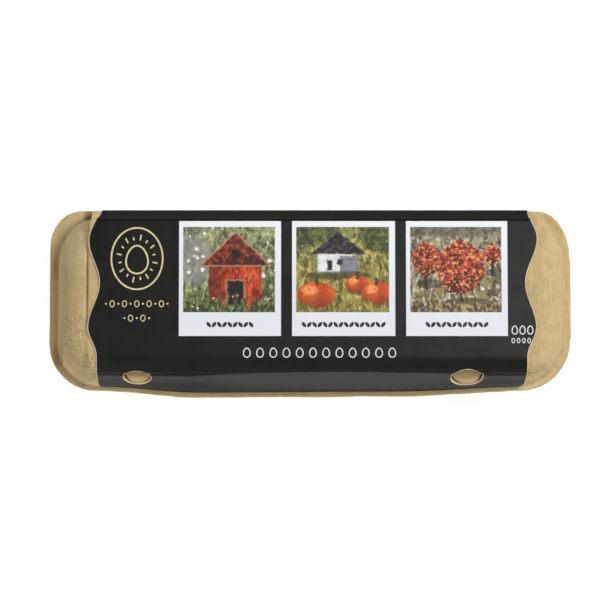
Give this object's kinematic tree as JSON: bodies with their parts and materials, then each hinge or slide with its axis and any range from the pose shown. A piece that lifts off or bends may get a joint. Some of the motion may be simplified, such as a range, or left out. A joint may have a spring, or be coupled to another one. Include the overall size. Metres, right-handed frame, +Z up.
{
  "type": "shut egg carton",
  "caption": "Shut moulded-pulp egg carton: tapered cups below, domed lid above, a dark printed label with wavy ends over the lid and two eye-shaped lock holes in its front.",
  "frame": {"origin": "on the table under the middle of the carton's box", "axes": "+X along the carton to its right seen from the front, +Y towards the hinge at the back, +Z up"},
  "size_m": [0.3, 0.1094, 0.0686],
  "materials": {
    "pulp": "matte moulded pulp",
    "label_paper": "satin printed paper"
  },
  "bodies": {
    "root": {"tray": "pulp", "lid": "pulp", "hinge": "pulp", "label": "label_paper", "lock_knob_left": "pulp", "lock_knob_right": "pulp"}
  },
  "joints": []
}
